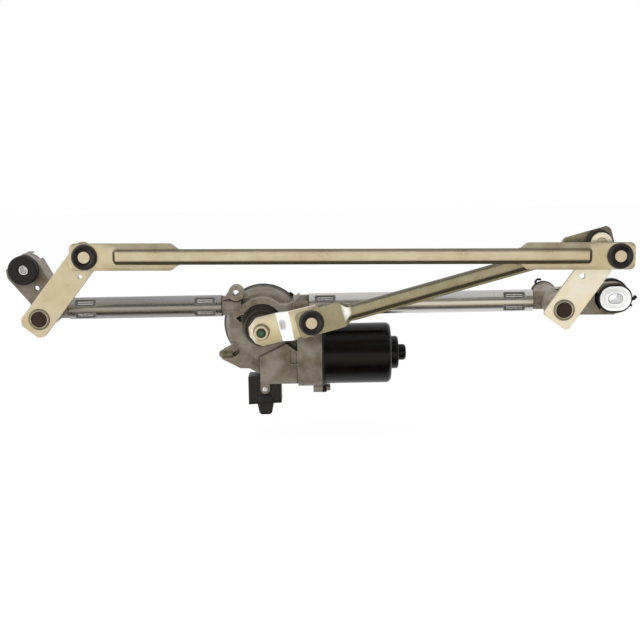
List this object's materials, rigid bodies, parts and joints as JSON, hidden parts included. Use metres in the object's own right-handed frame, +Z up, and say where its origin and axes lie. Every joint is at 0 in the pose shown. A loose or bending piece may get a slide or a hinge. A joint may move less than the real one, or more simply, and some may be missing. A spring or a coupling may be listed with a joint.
{
  "type": "windshield wiper motor",
  "caption": "Tandem windshield wiper linkage with its gear motor: two levers joined by a long rod, a crank and drive link, on a frame of tubes and castings.",
  "frame": {"origin": "on the bore axis of the left grommet, in the plane of the tube axes", "axes": "+X along the tubes toward the right pivot, +Z up, linkage faces -Y, wiper spindles point along +Y"},
  "size_m": [0.627, 0.1482, 0.1947],
  "materials": {
    "casting": "sand-grey pressure die casting",
    "tube_steel": "satin drawn steel tube",
    "yellow_zinc": "yellow passivated zinc plate",
    "dark_steel": "oiled dark steel",
    "bright_steel": "turned bright steel",
    "white_zinc": "white passivated zinc plate",
    "socket_plastic": "dark moulded acetal",
    "black_rubber": "moulded rubber",
    "black_paint": "gloss black paint",
    "connector_plastic": "black glass-filled plastic",
    "bronze": "sintered bronze",
    "gear_plastic": "natural acetal",
    "copper": "enamelled copper",
    "ferrite": "ferrite",
    "carbon": "pressed carbon"
  },
  "bodies": {
    "frame": {"left_tube": "tube_steel", "right_tube": "tube_steel", "left_pivot_housing": "casting", "right_pivot_housing": "casting", "gear_housing": "casting", "gear_cover": "black_paint", "cover_screws": "white_zinc", "motor_can": "black_paint", "field_magnets": "ferrite", "motor_gasket": "black_rubber", "motor_bolts": "yellow_zinc", "brush_holder": "connector_plastic", "brushes": "carbon", "armature_bearings": "bronze", "output_bush": "bronze", "connector_housing": "connector_plastic", "connector_terminals": "white_zinc", "connector_screw": "bright_steel", "left_grommet": "black_rubber", "left_grommet_sleeve": "white_zinc", "right_grommet": "black_rubber", "right_grommet_washer": "white_zinc", "left_spindle_bushes": "bronze", "right_spindle_bushes": "bronze", "left_spindle_seal": "black_rubber", "right_spindle_seal": "black_rubber"},
    "armature": {"armature_shaft": "bright_steel", "armature_core": "dark_steel", "armature_windings": "copper", "commutator": "copper"},
    "crank": {"output_shaft": "dark_steel", "worm_wheel": "gear_plastic", "motor_crank": "yellow_zinc", "crank_nut": "yellow_zinc", "crank_rivet": "yellow_zinc"},
    "right_lever_body": {"right_lever": "yellow_zinc", "right_spindle": "dark_steel", "right_thrust_washer": "socket_plastic", "right_spindle_clip": "bright_steel", "link_ball_stud": "yellow_zinc", "right_rod_ball_stud": "yellow_zinc"},
    "left_lever_body": {"left_lever": "yellow_zinc", "left_spindle": "dark_steel", "left_thrust_washer": "socket_plastic", "left_spindle_clip": "bright_steel", "left_rod_ball_stud": "yellow_zinc"},
    "drive_link_body": {"drive_link": "yellow_zinc", "link_near_socket": "socket_plastic", "link_far_socket": "socket_plastic", "crank_ball_stud": "yellow_zinc"},
    "tie_rod_body": {"long_rod": "yellow_zinc", "rod_right_socket": "socket_plastic", "rod_left_socket": "socket_plastic"}
  },
  "joints": [
    {"name": "armature_spin", "type": "hinge", "parent": "frame", "child": "armature", "pos_m": [0.33, 0.015, -0.0975], "axis": [1, 0, 0], "range_deg": [0, 9942]},
    {"name": "output_crank_turn", "type": "hinge", "parent": "frame", "child": "crank", "pos_m": [0.234, 0, -0.066], "axis": [0, -1, 0], "range_deg": [0, 180.81]},
    {"name": "right_lever_swing", "type": "hinge", "parent": "frame", "child": "right_lever_body", "pos_m": [0.529, 0, -0.044], "axis": [0, -1, 0], "range_deg": [0, 90.3]},
    {"name": "left_lever_swing", "type": "hinge", "parent": "frame", "child": "left_lever_body", "pos_m": [0.021, 0, -0.044], "axis": [0, -1, 0], "range_deg": [0, 83.25]},
    {"name": "drive_link_pivot", "type": "hinge", "parent": "right_lever_body", "child": "drive_link_body", "pos_m": [0.56383, -0.045, 0.02015], "axis": [0, -1, 0], "range_deg": [-91.46, 0]},
    {"name": "tie_rod_pivot", "type": "hinge", "parent": "right_lever_body", "child": "tie_rod_body", "pos_m": [0.57925, -0.067, 0.00895], "axis": [0, -1, 0], "range_deg": [-90.06, 0]}
  ],
  "couplings": [
    {"joint": "output_crank_turn", "follows": "armature_spin", "ratio": 0.018182},
    {"joint": "right_lever_swing", "follows": "armature_spin", "ratio": 0.0090774},
    {"joint": "left_lever_swing", "follows": "armature_spin", "ratio": 0.0083683},
    {"joint": "drive_link_pivot", "follows": "armature_spin", "ratio": -0.0091939},
    {"joint": "tie_rod_pivot", "follows": "armature_spin", "ratio": -0.0090533}
  ]
}
